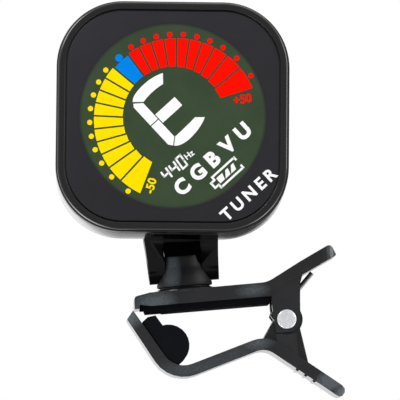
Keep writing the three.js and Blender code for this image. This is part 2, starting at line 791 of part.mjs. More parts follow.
function headGroup() {
  const group = new THREE.Group();
  group.add(
    piece("front_bezel", "casing", frontBezel()),
    piece("display_window", "window", displayWindow()),
    piece("lcd_panel", "display", lcdPanel()),
    piece("backlight_panel", "light_guide", backlightPanel()),
    piece("backlight_led", "light_guide", box([-1.5, 1.5], [-14.3, -11.7], [17.8, 19.0])),
    piece("display_connector", "rubber", box([-7.2, 7.2], [-14.65, -11.7], [-17.9, -16.4])),
    piece("circuit_board", "board", circuitBoard()),
    piece("microcontroller", "chip", box([-3.5, 3.5], [-10.3, -9.3], [1.0, 8.0])),
    piece("timing_crystal", "steel", box([-9.0, -4.0], [-10.3, -9.1], [-6.5, -4.7])),
    piece("piezo_sensor", "brass", cylinderY(3.8, -7.7, -7.3, 0, -17.7)),
    piece("power_switch", "chip", tactSwitch(BUTTON_PLACES.power)),
    piece("mode_switch", "chip", tactSwitch(BUTTON_PLACES.mode)),
    piece("power_button", "rubber", pushButton(BUTTON_PLACES.power)),
    piece("mode_button", "rubber", pushButton(BUTTON_PLACES.mode)),
    piece("battery", "steel", battery()),
    piece("battery_contact_negative", "brass", negativeContact()),
    piece("battery_contact_positive", "brass", positiveContact()),
    piece("back_case", "casing", backCase()),
    piece("battery_door", "casing", batteryDoor()),
    piece("retaining_ring", "dark_steel", retainingRing()),
  );
  CASE_SCREWS.forEach((place, i) => group.add(piece(`case_screw_${i + 1}`, "dark_steel", caseScrew(place))));
  group.position.z = HEAD_RISE;
  group.rotation.y = HEAD_TURN;
  return group;
}

// Everything that tilts about the pin.
function tiltingGroup() {
  const group = new THREE.Group();
  group.add(
    piece("yoke", "clip_plastic", yoke()),
    piece("tilt_pin", "dark_steel", tiltPin()),
    piece("friction_washer", "nylon", frictionWasher()),
    headGroup(),
  );
  group.position.z = TILT_HEIGHT;
  group.rotation.x = -HEAD_TILT;
  return group;
}

const tuner = new THREE.Group();
tuner.name = "clip_on_tuner";
tuner.add(clipGroup(), neckGroup(), tiltingGroup());

export default tuner;
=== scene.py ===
"""Looks for the clip-on tuner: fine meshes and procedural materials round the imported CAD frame."""
import json
import math

import bmesh
import bpy
from mathutils import Matrix, Vector


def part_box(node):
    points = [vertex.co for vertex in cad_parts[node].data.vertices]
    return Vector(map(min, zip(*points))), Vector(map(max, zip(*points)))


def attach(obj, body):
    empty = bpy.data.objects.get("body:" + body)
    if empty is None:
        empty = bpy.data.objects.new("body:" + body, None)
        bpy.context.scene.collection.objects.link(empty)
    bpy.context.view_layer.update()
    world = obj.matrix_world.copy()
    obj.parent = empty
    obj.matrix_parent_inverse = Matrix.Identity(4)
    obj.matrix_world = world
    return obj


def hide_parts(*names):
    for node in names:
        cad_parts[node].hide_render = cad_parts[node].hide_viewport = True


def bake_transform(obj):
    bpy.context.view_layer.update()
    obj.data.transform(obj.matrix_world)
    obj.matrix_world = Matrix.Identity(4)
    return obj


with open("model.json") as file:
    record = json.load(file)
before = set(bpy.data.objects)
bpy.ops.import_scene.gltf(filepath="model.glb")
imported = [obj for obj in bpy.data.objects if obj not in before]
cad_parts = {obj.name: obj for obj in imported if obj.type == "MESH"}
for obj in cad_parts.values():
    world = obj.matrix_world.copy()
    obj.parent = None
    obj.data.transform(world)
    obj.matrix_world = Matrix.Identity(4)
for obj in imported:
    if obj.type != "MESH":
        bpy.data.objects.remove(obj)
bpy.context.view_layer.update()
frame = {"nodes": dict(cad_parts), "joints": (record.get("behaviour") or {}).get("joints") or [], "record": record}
NODES = frame["nodes"]
JOINTS = {joint["name"]: joint for joint in frame["joints"]}
MM = 0.001


# ---- Frames and sizes taken from the CAD model; everything below is in millimetres ----

def joint_place(name):
    return Vector(JOINTS[name]["pos_m"]) / MM


def node_centre(node):
    low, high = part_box(node)
    return (low + high) / (2 * MM)


def axes_at(origin, x_axis, y_axis):
    """A frame, in millimetres, with these axes."""
    z_axis = x_axis.cross(y_axis)
    turn = Matrix((x_axis, y_axis, z_axis)).transposed().to_4x4()
    return Matrix.Translation(origin) @ turn


ROW = Matrix.Identity(4)
PIVOT = joint_place("jaw_open")
PIN = joint_place("head_tilt")
HEAD_CENTRE = joint_place("head_turn")
FACING = Vector(JOINTS["head_turn"]["axis"])
TILTED = axes_at(PIN, Vector((1, 0, 0)), -FACING)
ACROSS_HEAD = (node_centre("mode_button") - node_centre("power_button")).normalized()
HEAD = axes_at(HEAD_CENTRE, ACROSS_HEAD, -FACING)
PIVOT_FRAME = Matrix.Translation(PIVOT)


# ---- Mesh helpers ----

# In degrees: faces nearer than the first are merged, and edges sharper than the second are rounded.
FLAT_ANGLE, SHARP_ANGLE = 0.4, 32

# The width in millimetres of the rounding on the CAD nodes' own edges.
CAD_EDGE = 0.2


def piece(name, verts, faces, place, body, slot, *nodes):
    """A mesh object from points in millimetres in the frame `place`, riding on `body`."""
    mesh = bpy.data.meshes.new(name)
    mesh.from_pydata([(place @ Vector(v)) * MM for v in verts], [], faces)
    mesh.validate()
    made = bpy.data.objects.new(name, mesh)
    bpy.context.scene.collection.objects.link(made)
    outward(mesh)
    if body:
        dress(made, body, slot, *nodes)
    return made


def dress(made, body, slot, *nodes):
    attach(made, body)
    if nodes:
        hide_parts(*nodes)
    paint(made, MATERIALS[slot])
    return made


def outward(mesh):
    work = bmesh.new()
    work.from_mesh(mesh)
    bmesh.ops.remove_doubles(work, verts=work.verts, dist=1e-7)
    bmesh.ops.recalc_face_normals(work, faces=work.faces)
    if work.calc_volume(signed=True) < 0:
        bmesh.ops.reverse_faces(work, faces=work.faces)
    work.to_mesh(mesh)
    work.free()


def prism(points, low, high):
    """An XZ outline made solid from Y = low to Y = high."""
    count = len(points)
    verts = [(x, low, z) for x, z in points] + [(x, high, z) for x, z in points]
    faces = [list(range(count)), list(range(2 * count - 1, count - 1, -1))]
    faces += [[i, (i + 1) % count, (i + 1) % count + count, i + count] for i in range(count)]
    return verts, faces


def lathe(profile, segments=64, centre=(0, 0)):
    """A profile of (radius, y) pairs turned about the frame's Y axis; it starts and ends on the axis."""
    verts, faces, rings = [], [], []
    for radius, y in profile:
        start = len(verts)
        if radius < 1e-6:
            verts.append((centre[0], y, centre[1]))
            rings.append([start] * segments)
            continue
        for i in range(segments):
            angle = 2 * math.pi * i / segments
            verts.append((centre[0] + radius * math.cos(angle), y, centre[1] + radius * math.sin(angle)))
        rings.append(list(range(start, start + segments)))
    for a, b in zip(rings, rings[1:]):
        for i in range(segments):
            j = (i + 1) % segments
            face = list(dict.fromkeys([a[i], a[j], b[j], b[i]]))
            if len(face) > 2:
                faces.append(face)
    return verts, faces


def ring_lathe(profile, segments=96):
    """As lathe, for a closed profile that never meets the axis."""
    verts, faces = [], []
    count = len(profile)
    for i in range(segments):
        angle = 2 * math.pi * i / segments
        verts += [(radius * math.cos(angle), y, radius * math.sin(angle)) for radius, y in profile]
    for i in range(segments):
        for k in range(count):
            a, b = i * count + k, i * count + (k + 1) % count
            c, d = ((i + 1) % segments) * count + (k + 1) % count, ((i + 1) % segments) * count + k
            faces.append([a, b, c, d])
    return verts, faces


def loft(sections):
    """Skins outlines at successive depths: each section is (y, [(x, z), ...]), with end caps."""
    count = len(sections[0][1])
    verts = [(x, y, z) for y, points in sections for x, z in points]
    faces = [list(range(count)), list(range(len(verts) - 1, len(verts) - count - 1, -1))]
    for ring in range(len(sections) - 1):
        for i in range(count):
            a, b = ring * count + i, ring * count + (i + 1) % count
            faces.append([a, b, b + count, a + count])
    return verts, faces


def rounded_square(half, corner, steps=20):
    points = []
    centre = half - corner
    for quarter in range(4):
        cx = centre if quarter in (0, 3) else -centre
        cz = centre if quarter < 2 else -centre
        for step in range(steps + 1):
            angle = (quarter + step / steps) * math.pi / 2
            points.append((cx + corner * math.cos(angle), cz + corner * math.sin(angle)))
    return points


def circle(radius, centre=(0, 0), segments=48):
    angles = [2 * math.pi * i / segments for i in range(segments)]
    return [(centre[0] + radius * math.cos(a), centre[1] + radius * math.sin(a)) for a in angles]


def arc(centre, radius, start, end, steps=12):
    """Points on an arc; angles in degrees."""
    angles = [math.radians(start + (end - start) * i / steps) for i in range(steps + 1)]
    return [(centre[0] + radius * math.cos(a), centre[1] + radius * math.sin(a)) for a in angles]


def tool(verts, faces, place):
    return piece("tool", verts, faces, place, None, None)


def combine(target, tools, operation="DIFFERENCE"):
    """Boolean each tool into the target, then throw the tools away."""
    for other in tools:
        step = target.modifiers.new("boolean", "BOOLEAN")
        step.operation = operation
        step.solver = "EXACT"
        step.object = other
        bake_modifiers(target)
        bpy.data.objects.remove(other)
    return target


def bake_modifiers(target):
    graph = bpy.context.evaluated_depsgraph_get()
    graph.update()
    fresh = bpy.data.meshes.new_from_object(target.evaluated_get(graph))
    target.modifiers.clear()
    target.data = fresh


def soften(target, width, segments=3):
    """Rounds the sharp edges by `width` millimetres and smooths the shading between them."""
    flat = target.modifiers.new("flat_faces", "DECIMATE")
    flat.decimate_type = "DISSOLVE"
    flat.angle_limit = math.radians(FLAT_ANGLE)
    bevel = target.modifiers.new("edges", "BEVEL")
    bevel.width = width * MM
    bevel.segments = segments
    bevel.limit_method = "ANGLE"
    bevel.angle_limit = math.radians(SHARP_ANGLE)
    bevel.use_clamp_overlap = True
    bevel.miter_outer = "MITER_ARC"
    bevel.harden_normals = False
    target.data.polygons.foreach_set("use_smooth", [True] * len(target.data.polygons))
    even = target.modifiers.new("even_shading", "WEIGHTED_NORMAL")
    even.keep_sharp = True
    even.weight = 80
    return target


def smooth(target, angle=35):
    target.data.polygons.foreach_set("use_smooth", [True] * len(target.data.polygons))
    target.data.set_sharp_from_angle(angle=math.radians(angle))
    return target


# ---- Materials ----

# Nearly all of a noise texture's values lie between these.
NOISE_LOW, NOISE_HIGH = 0.3, 0.7


def node(tree, kind, **settings):
    made = tree.nodes.new(kind)
    for key, value in settings.items():
        if key in made.inputs:
            made.inputs[key].default_value = value
        else:
            setattr(made, key, value)
    return made


def ranged(tree, value, low, high, at_low, at_high):
    """Maps a value from one range to another and returns the result's socket."""
    made = node(tree, "ShaderNodeMapRange")
    made.inputs["From Min"].default_value = low
    made.inputs["From Max"].default_value = high
    made.inputs["To Min"].default_value = at_low
    made.inputs["To Max"].default_value = at_high
    tree.links.new(value, made.inputs["Value"])
    return made.outputs["Result"]


def surface(name, color, roughness, **more):
    """A material with fine grain in its bump and soft unevenness in its colour and roughness.

    Sizes are in millimetres: grain_size of the moulded texture, patch_size of the unevenness. With
    speckle, the roughness follows the grain instead of the unevenness."""
    metallic = more.get("metallic", 0.0)
    grain, grain_size = more.get("grain", 0.05), more.get("grain_size", 0.12)
    patch, patch_size = more.get("patch", 0.15), more.get("patch_size", 6.0)
    made = bpy.data.materials.new(name)
    made.use_nodes = True
    tree = made.node_tree
    shader = tree.nodes["Principled BSDF"]
    shader.inputs["Metallic"].default_value = metallic
    shader.inputs["Specular IOR Level"].default_value = more.get("specular", 0.5)
    shader.inputs["Coat Weight"].default_value = more.get("coat", 0.0)
    shader.inputs["Coat Roughness"].default_value = more.get("coat_roughness", 0.08)
    where = node(tree, "ShaderNodeTexCoord")
    patches = node(tree, "ShaderNodeTexNoise", Scale=1 / (patch_size * MM), Detail=3.0, Roughness=0.55)
    fine = node(tree, "ShaderNodeTexNoise", Scale=1 / (grain_size * MM), Detail=2.0, Roughness=0.6)
    for texture in (patches, fine):
        tree.links.new(where.outputs["Object"], texture.inputs["Vector"])
    tones = node(tree, "ShaderNodeValToRGB")
    dark, pale = tones.color_ramp.elements
    dark.position, pale.position = NOISE_LOW, NOISE_HIGH
    dark.color = [c * (1 - patch) for c in color] + [1]
    pale.color = [min(1, c * (1 + patch)) for c in color] + [1]
    tree.links.new(patches.outputs["Fac"], tones.inputs["Fac"])
    tree.links.new(tones.outputs["Color"], shader.inputs["Base Color"])
    spread = 0.8 * patch
    dull, glossy = min(1.0, roughness * (1 + spread)), max(0.02, roughness * (1 - spread))
    uneven = fine if more.get("speckle") else patches
    shine = ranged(tree, uneven.outputs["Fac"], 0.0, 1.0, glossy, dull)
    tree.links.new(shine, shader.inputs["Roughness"])
    bump = node(tree, "ShaderNodeBump", Strength=grain, Distance=grain_size * MM * 0.5)
    tree.links.new(fine.outputs["Fac"], bump.inputs["Height"])
    tree.links.new(bump.outputs["Normal"], shader.inputs["Normal"])
    return made


# The print round the display, which the display's rim fades into.
CHARCOAL = (0.0235, 0.0225, 0.027)

LOOKS = {
    "casing_plastic": dict(color=(0.005, 0.005, 0.0055), roughness=0.32, grain=0.08, grain_size=0.10,
                           specular=0.3, coat=1.0, coat_roughness=0.10),
    "clip_plastic": dict(color=(0.013, 0.0132, 0.0152), roughness=0.42, grain=0.25, grain_size=0.16,
                         patch=0.35, patch_size=8.0, speckle=True, specular=0.3, coat=0.8,
                         coat_roughness=0.14),
    "pad_rubber": dict(color=(0.0062, 0.0065, 0.0085), roughness=0.9, grain=0.3, grain_size=0.25,
                       specular=0.06),
    "window_print": dict(color=CHARCOAL, roughness=0.30, grain=0.0, patch=0.05, specular=0.25),
    "display_glass": dict(color=(0.040, 0.066, 0.033), roughness=0.30, grain=0.0, patch=0.10,
                          specular=0.2),
    "light_guide": dict(color=(0.80, 0.80, 0.76), roughness=0.35),
    "board_laminate": dict(color=(0.010, 0.12, 0.045), roughness=0.4, patch=0.3, patch_size=1.2),
    "chip_resin": dict(color=(0.015, 0.015, 0.016), roughness=0.55, grain=0.3),
    "bright_steel": dict(color=(0.93, 0.95, 1.0), roughness=0.32, metallic=0.35, grain=0.2,
                         grain_size=0.5, patch=0.08, patch_size=0.8),
    "spring_steel": dict(color=(0.16, 0.16, 0.17), roughness=0.30, metallic=1.0, grain=0.05, patch=0.3,
                         patch_size=1.0),
    "dark_steel": dict(color=(0.10, 0.10, 0.11), roughness=0.30, metallic=1.0, grain=0.08),
    "contact_brass": dict(color=(0.60, 0.42, 0.14), roughness=0.25, metallic=1.0, grain=0.05),
    "washer_nylon": dict(color=(0.010, 0.010, 0.011), roughness=0.45, grain=0.1),
    "button_rubber": dict(color=(0.022, 0.022, 0.025), roughness=0.55, grain=0.3, grain_size=0.2),
}
MATERIALS = {slot: surface(slot, **look) for slot, look in LOOKS.items()}

# Painted shade: darker copies of the plastics, for the yoke under the head and for the hollow between its cheeks.
PAINTED_SHADE = {
    "yoke": surface("clip_plastic_painted_shade", (0.005, 0.005, 0.0055), 0.45, grain=0.15, specular=0.2, coat=0.25,
                    coat_roughness=0.14),
    "recess": surface("recess_painted_shadow", (0.0006, 0.0006, 0.0007), 0.9, grain=0.3, specular=0.02),
}

# The knuckle's finish is duller than the rest of the clip's.
DULL = surface("clip_plastic_dull", (0.012, 0.0122, 0.014), 0.5, grain=0.3, grain_size=0.16, patch=0.2,
               specular=0.3)

LIT = {
    "red": surface("lit_red", (1.0, 0.004, 0.0), 0.45, grain=0.0, patch=0.02, specular=0.03),
    "yellow": surface("lit_yellow", (1.0, 0.76, 0.0), 0.45, grain=0.0, patch=0.02, specular=0.03),
    "blue": surface("lit_blue", (0.0, 0.235, 0.80), 0.45, grain=0.0, patch=0.02, specular=0.03),
    "white": surface("lit_white", (0.97, 0.97, 0.97), 0.45, grain=0.0, patch=0.01, specular=0.1),
}

# Painted sheen standing in for soft highlights on the plastic: its colour, and in millimetres the size of its grit
# and half a patch's depth along Y.
SHEEN_COLOR = (0.085, 0.100, 0.110, 1)
SHEEN_GRIT, SHEEN_DEPTH = 0.35, 3.0

# Where highlights are painted on the clip's near side: x, y, z, half length and half height in millimetres, then
# strength.
PAINTED_SHEENS = [
    (-6.6, -6.7, 2.2, 5.2, 2.5, 1.4),
    (13.8, -6.7, 3.0, 4.0, 1.7, 1.1),
    (14.0, -6.7, -7.9, 3.8, 1.8, 0.9),
    (27.9, -6.7, -17.1, 3.0, 2.4, 2.0),
    (30.6, -6.7, -20.0, 2.2, 1.8, 1.7),
    (31.4, -6.7, 9.8, 1.8, 2.2, 1.4),
    (-11.7, -6.7, -0.6, 3.0, 2.6, 1.2),
    (0.0, -6.7, -12.3, 11.0, 3.0, 0.5),
    (9.0, -6.7, -9.9, 8.0, 3.0, 0.4),
    (-2.6, -4.6, 8.2, 2.3, 5.5, 1.6),
]


def paint_sheen(made, patches, color):
    """Blends soft patches of a paler colour into a material as painted highlights, broken up by its grain."""
    tree = made.node_tree
    shader = tree.nodes["Principled BSDF"]
    where = node(tree, "ShaderNodeTexCoord")
    grit = node(tree, "ShaderNodeTexNoise", Scale=1 / (SHEEN_GRIT * MM), Detail=3.0, Roughness=0.7)
    tree.links.new(where.outputs["Object"], grit.inputs["Vector"])
    total = None
    for x, y, z, length, height, strength in patches:
        place = node(tree, "ShaderNodeMapping", vector_type="TEXTURE", Location=(x * MM, y * MM, z * MM),
                     Scale=(length * MM, SHEEN_DEPTH * MM, height * MM))
        spot = node(tree, "ShaderNodeTexGradient", gradient_type="SPHERICAL")
        add = node(tree, "ShaderNodeMath", operation="MULTIPLY_ADD")
        tree.links.new(where.outputs["Object"], place.inputs["Vector"])
        tree.links.new(place.outputs["Vector"], spot.inputs["Vector"])
        tree.links.new(spot.outputs["Fac"], add.inputs[0])
        add.inputs[1].default_value = strength
        add.inputs[2].default_value = 0.0
        if total:
            tree.links.new(total.outputs[0], add.inputs[2])
        total = add
    broken = node(tree, "ShaderNodeMath", operation="MULTIPLY")
    lift = ranged(tree, grit.outputs["Fac"], NOISE_LOW, NOISE_HIGH, 0.35, 1.65)
    tree.links.new(total.outputs[0], broken.inputs[0])
    tree.links.new(lift, broken.inputs[1])
    blend = node(tree, "ShaderNodeMix", data_type="RGBA")
    tree.links.new(broken.outputs[0], blend.inputs[0])
    tree.links.new(shader.inputs["Base Color"].links[0].from_socket, blend.inputs[6])
    blend.inputs[7].default_value = color
    tree.links.new(blend.outputs[2], shader.inputs["Base Color"])


def fade_rim(made, centre, radius, width, color):
    """Fades a material to another colour over the last `width` of a disc."""
    tree = made.node_tree
    shader = tree.nodes["Principled BSDF"]
    where = node(tree, "ShaderNodeTexCoord")
    place = node(tree, "ShaderNodeMapping", vector_type="TEXTURE", Location=centre * MM,
                 Scale=(radius * MM, radius * MM, radius * MM))
    spot = node(tree, "ShaderNodeTexGradient", gradient_type="SPHERICAL")
    reach = node(tree, "ShaderNodeMapRange", interpolation_type="SMOOTHSTEP")
    reach.inputs["From Max"].default_value = width / radius
    blend = node(tree, "ShaderNodeMix", data_type="RGBA")
    tree.links.new(where.outputs["Object"], place.inputs["Vector"])
    tree.links.new(place.outputs["Vector"], spot.inputs["Vector"])
    tree.links.new(spot.outputs["Fac"], reach.inputs["Value"])
    tree.links.new(reach.outputs["Result"], blend.inputs[0])
    tree.links.new(shader.inputs["Base Color"].links[0].from_socket, blend.inputs[7])
    blend.inputs[6].default_value = color
    tree.links.new(blend.outputs[2], shader.inputs["Base Color"])


def paint(target, material):
    target.data.materials.clear()
    target.data.materials.append(material)


def finish_cad_nodes():
    """Gives every carried-over CAD node its material, and rounds the edges of those that show."""
    slots = {part["node"]: part["material_slot"] for part in frame["record"]["subparts"]}
    for name, target in NODES.items():
        paint(target, MATERIALS[slots[name]])
        if not target.hide_render:
            soften(target, CAD_EDGE)


# ---- Neck ----

UPRIGHT = Matrix.Rotation(math.radians(90), 4, "X")
SIDEWAYS = TILTED @ Matrix.Rotation(math.radians(-90), 4, "Z")
RING_RISE = (TILTED.inverted() @ HEAD_CENTRE).z
CHEEK_GAP, CHEEK_RADIUS = 3.82, 2.9
ARM_FRONT, ARM_BACK = -4.75, -2.6
YOKE_RING, YOKE_BORE = 17.0, 13.6
PIN_BORE, PIN_COUNTERBORE = 1.25, 2.0


def prism_x(points, low, high):
    """A YZ outline made solid from X = low to X = high."""
    verts, faces = prism(points, low, high)
    return [(y, x, z) for x, y, z in verts], faces


def yoke():
    """Two cheeks about the tilt pin, an arm leaning forward over them, and the ring round the turntable."""
    side = arc((0, 0), CHEEK_RADIUS, 180, 360, 28)
    side += bezier((CHEEK_RADIUS, 2.2), (CHEEK_RADIUS, 6.0), (-0.6, 8.6), 14)
    side += bezier((-0.6, 8.6), (ARM_BACK, 10.0), (ARM_BACK, 12.0), 10)[1:]
    side += [(ARM_BACK, 15.0), (ARM_FRONT, 15.0), (ARM_FRONT, 6.5)]
    body = piece("yoke_fork", *prism_x(side, -11, 11), TILTED, "yoke", "clip_plastic", "yoke")
    half = bezier((7.2, -3.5), (7.35, 3.0), (7.8, 6.5), 6)
    half += bezier((7.8, 9.0), (8.1, 12.5), (10.5, 16.0), 8)
    front = half + [(-x, z) for x, z in reversed(half)]
    combine(body, [tool(*prism(front, -8, 8), TILTED)], "INTERSECT")
    slot = lathe([(0, -CHEEK_GAP), (5.4, -CHEEK_GAP), (5.4, CHEEK_GAP), (0, CHEEK_GAP)], 96)
    gap = prism_x([(-6, -4), (6, -4), (6, 0.5), (-6, 0.5)], -CHEEK_GAP, CHEEK_GAP)
    combine(body, [tool(*slot, SIDEWAYS), tool(*gap, TILTED)])
    ring = [(0, ARM_FRONT), (YOKE_RING, ARM_FRONT), (YOKE_RING, ARM_BACK), (0, ARM_BACK)]
    combine(body, [tool(*lathe(ring, 144, (0, RING_RISE)), TILTED)], "UNION")
    hole = lathe([(0, -8), (YOKE_BORE, -8), (YOKE_BORE, 2), (0, 2)], 144, (0, RING_RISE))
    half_bore = [(PIN_BORE, 6.5), (PIN_COUNTERBORE, 6.5), (PIN_COUNTERBORE, 9), (0, 9)]
    bore = lathe([(radius, -x) for radius, x in reversed(half_bore)] + half_bore, 48)
    combine(body, [tool(*hole, TILTED), tool(*bore, SIDEWAYS)])
    for x in (-4.2, 0, 4.2):
        relief = slot_outline(x, 10.4, 2.4, 3.6, True)
        combine(body, [tool(*prism(relief, -3.15, 0), TILTED)])
    soften(body, 0.3, 3)
    # Painted shade: the yoke takes a darker copy of the clip's plastic.
    paint(body, PAINTED_SHADE["yoke"])
    # Painted shadow: a near-black block between the cheeks above the knuckle, where there is only shade.
    shadow_outline = [(-5.25, 1.9), (-4.6, 2.1), (-3.6, 3.7), (-3.6, 4.7), (-5.25, 4.7)]
    shadow_block = piece("yoke_painted_shadow", *prism_x(shadow_outline, -CHEEK_GAP, CHEEK_GAP), TILTED, "yoke", "pad_rubber")
    soften(shadow_block, 0.15, 2)
    paint(shadow_block, PAINTED_SHADE["recess"])


def tilt_pin():
    end = [(1.75, 6.65), (1.75, 6.85), (1.6, 7.0), (0, 7.0)]
    profile = [(0, -6.95), (0.9, -6.95), (1.1, -6.75), (1.1, 6.65)] + end
    pin = piece("hinge_pin", *lathe(profile, 48), SIDEWAYS, "yoke", "dark_steel", "tilt_pin")
    half_slot = 0.22
    slot = [(-2, -half_slot), (2, -half_slot), (2, half_slot), (-2, half_slot)]
    combine(pin, [tool(*prism_x(slot, 6.75, 8), TILTED)])
    smooth(pin, 30)


def knuckle():
    """The turned foot that swivels on the clip, waisted and flattened where the cheeks straddle it."""
    waist = bezier((5.6, 6.5), (5.35, 7.6), (4.62, 8.9), 8)
    waist += bezier((4.62, 8.9), (4.3, 9.6), (4.25, 10.8), 8)[1:]
    foot = [(0, 5.1), (5.45, 5.1), (5.7, 5.2), (5.76, 5.5), (5.72, 6.0)]
    top = [(4.25, 11.3), (4.15, 11.6), (3.9, 11.75), (0, 11.75)]
    body = piece("knuckle", *lathe(foot + waist + top, 96), UPRIGHT, "neck", "clip_plastic", "neck_knuckle")
    beside = Matrix.Translation(PIN) @ Matrix.Rotation(math.radians(-90), 4, "Z")
    flat, clearance = 3.7, 3.2
    for side in (-1, 1):
        low, high = sorted((flat * side, 8 * side))
        round_gap = lathe([(0, low), (clearance, low), (clearance, high), (0, high)], 72)
        above = prism_x([(-6, 9), (6, 9), (6, 13), (-6, 13)], low, high)
        behind = prism_x([(0, 5.8), (6, 5.8), (6, 10), (0, 10)], low, high)
        combine(body, [tool(*round_gap, beside), tool(*above, ROW), tool(*behind, ROW)])
    bore = lathe([(0, -8), (PIN_BORE, -8), (PIN_BORE, 8), (0, 8)], 40)
    combine(body, [tool(*bore, beside)])
    screw_hole = lathe([(0, 4), (1.35, 4), (1.35, 7.4), (0, 7.4)], 40)
    combine(body, [tool(*screw_hole, UPRIGHT)])
    smooth(body, 32)
    paint(body, DULL)


def swivel_washer():
    profile = [(1.4, 4.85), (5.15, 4.85), (5.2, 4.9), (5.2, 5.0), (5.15, 5.05), (1.4, 5.05)]
    ring = piece("washer_swivel", *ring_lathe(profile, 96), UPRIGHT, "clip", "washer_nylon", "swivel_washer")
    smooth(ring)


# ---- Clip ----

COIL, WIRE, COIL_HALF = 2.1, 0.5, 2.45
LOWER_LEG, UPPER_LEG = (23.4, -11.65), (26.5, 5.72)


def rivet():
    """The bright rivet with its domed head on the near side, and the collar formed on its far end."""
    dome = [(1.94, -6.6), (2.0, -6.68), (1.97, -6.82), (1.84, -6.93), (1.6, -7.0), (1.2, -7.04), (0, -7.05)]
    profile = [(0, 7.0), (0.95, 7.0), (1.1, 6.85), (1.1, -6.6)] + dome
    shank = piece("rivet", *lathe(profile, 72), PIVOT_FRAME, "clip", "bright_steel", "pivot_rivet")
    smooth(shank, 40)
    rim = [(1.25, 6.6), (1.95, 6.6), (2.0, 6.7), (1.9, 6.95), (1.75, 7.05), (1.25, 7.05)]
    collar = piece("rivet_ring", *ring_lathe(rim, 72), PIVOT_FRAME, "clip", "bright_steel", "rivet_collar")
    smooth(collar, 40)


def leg_angle(end, side):
    """The angle about the pivot where a straight leg to `end` leaves the coil."""
    x, z = end[0] - PIVOT.x, end[1] - PIVOT.z
    return math.atan2(z, x) + side * math.acos(COIL / math.hypot(x, z))


def spring():
    """The wire at rest: a straight leg on each jaw, and turns round the rivet that twist between them."""
    turns, steps = 4, 200
    start = leg_angle(LOWER_LEG, -1)
    finish = leg_angle(UPPER_LEG, 1) - 2 * math.pi * (turns + 1)
    coil = []
    for i in range(steps + 1):
        angle = start + (finish - start) * i / steps
        y = COIL_HALF * (1 - 2 * i / steps)
        coil.append(Vector((PIVOT.x + COIL * math.cos(angle), y, PIVOT.z + COIL * math.sin(angle))))
    low = Vector((LOWER_LEG[0], COIL_HALF, LOWER_LEG[1]))
    high = Vector((UPPER_LEG[0], -COIL_HALF, UPPER_LEG[1]))
    lower_leg = [low.lerp(coil[0], i / 6) for i in range(6)]
    upper_leg = [coil[-1].lerp(high, i / 6) for i in range(1, 7)]
    made = piece("spring_wire", *tube(lower_leg + coil + upper_leg, WIRE, 14), ROW, None, None)
    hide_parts("torsion_spring")
    made.data.materials.append(MATERIALS["spring_steel"])
    smooth(made, 50)
    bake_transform(made)


def tube(path, radius, sides):
    """A round wire along points, with slightly rounded ends."""
    verts, faces = [], []
    normal = Vector((0, 1, 0))
    last = len(path) - 1
    for i, point in enumerate(path):
        along = (path[min(i + 1, last)] - path[max(i - 1, 0)]).normalized()
        normal = (normal - along * normal.dot(along)).normalized()
        other = along.cross(normal)
        for k in range(sides):
            angle = 2 * math.pi * k / sides
            verts.append(point + (normal * math.cos(angle) + other * math.sin(angle)) * radius)
    for i in range(last):
        for k in range(sides):
            a, b = i * sides + k, i * sides + (k + 1) % sides
            faces.append([a, b, b + sides, a + sides])
    faces.append(list(range(sides)))
    faces.append(list(range(last * sides, (last + 1) * sides)))
    return verts, faces


# ---- Head: millimetres in the head's own frame, where the display faces -Y ----

HALF, CORNER = 24.0, 13.7
FRONT, SEAM_FRONT, SEAM_BACK, BACK = -18.5, -15.1, -14.9, -5.5
RIM = 1.2
WINDOW_INSET, WINDOW_GAP, WINDOW_FACE = 1.8, 0.36, -18.3
LEDGE, LEDGE_INSET = -17.0, 4.1
TURNTABLE, TURNTABLE_BACK = 13.3, -0.9
DOOR, WELL = 11.7, 10.8
BUTTONS = {"power": (-15.2, 15.2), "mode": (15.2, 15.2)}
SCREWS = [(-9.5, 20.3), (9.5, 20.3), (-16.0, -16.0), (16.0, -16.0)]


def shell(inset, y):
    """One outline of the head's shell, drawn in from its outer wall."""
    return y, rounded_square(HALF - inset, CORNER - inset)


def closed_loft(sections):
    """Skins outlines that follow each other round a ring and back to the first."""
    count = len(sections[0][1])
    verts = [(x, y, z) for y, points in sections for x, z in points]
    faces = []
    for ring in range(len(sections)):
        after = (ring + 1) % len(sections)
        for i in range(count):
            j = (i + 1) % count
            faces.append([ring * count + i, ring * count + j, after * count + j, after * count + i])
    return verts, faces


def rounded_edge(inset, y, radius, steps=8):
    """Outlines that turn from the outer wall to a face at `y`; the wall lies on the +Y side of it."""
    angles = [math.pi / 2 * i / steps for i in range(steps + 1)]
    return [shell(inset + radius * (1 - math.cos(a)), y + radius * (1 - math.sin(a))) for a in angles]


def front_bezel():
    """The frame round the window: a groove and a step in its outer wall, and a fine lip inside."""
    lip = 0.07
    sections = [shell(0.1, SEAM_FRONT), shell(0, SEAM_FRONT - 0.1)]
    step = [(0, 1.15), (0.04, 1.0), (0.15, 0.95), (0.6, 0.95), (0.6, 0.62), (0.3, 0.6)]
    sections += [shell(inset, FRONT + depth) for inset, depth in step]
    sections += rounded_edge(0.3, FRONT, 0.55)
    for i in range(5):
        angle = math.pi / 2 * i / 4
        inset = WINDOW_INSET - lip + lip * math.sin(angle)
        sections.append(shell(inset, FRONT + lip * (1 - math.cos(angle))))
    sections += [shell(WINDOW_INSET, LEDGE), shell(LEDGE_INSET, LEDGE), shell(LEDGE_INSET, SEAM_FRONT)]
    made = piece("bezel", *closed_loft(sections), HEAD, "head", "casing_plastic", "front_bezel")
    smooth(made)


def window():
    inset = WINDOW_INSET + WINDOW_GAP
    edge = 0.12
    sections = [shell(inset, LEDGE - 0.1), shell(inset, WINDOW_FACE + edge)]
    sections += [shell(inset + edge * 0.3, WINDOW_FACE + edge * 0.3), shell(inset + edge, WINDOW_FACE)]
    made = piece("window", *loft(sections), HEAD, "head", "window_print", "display_window")
    smooth(made, 50)


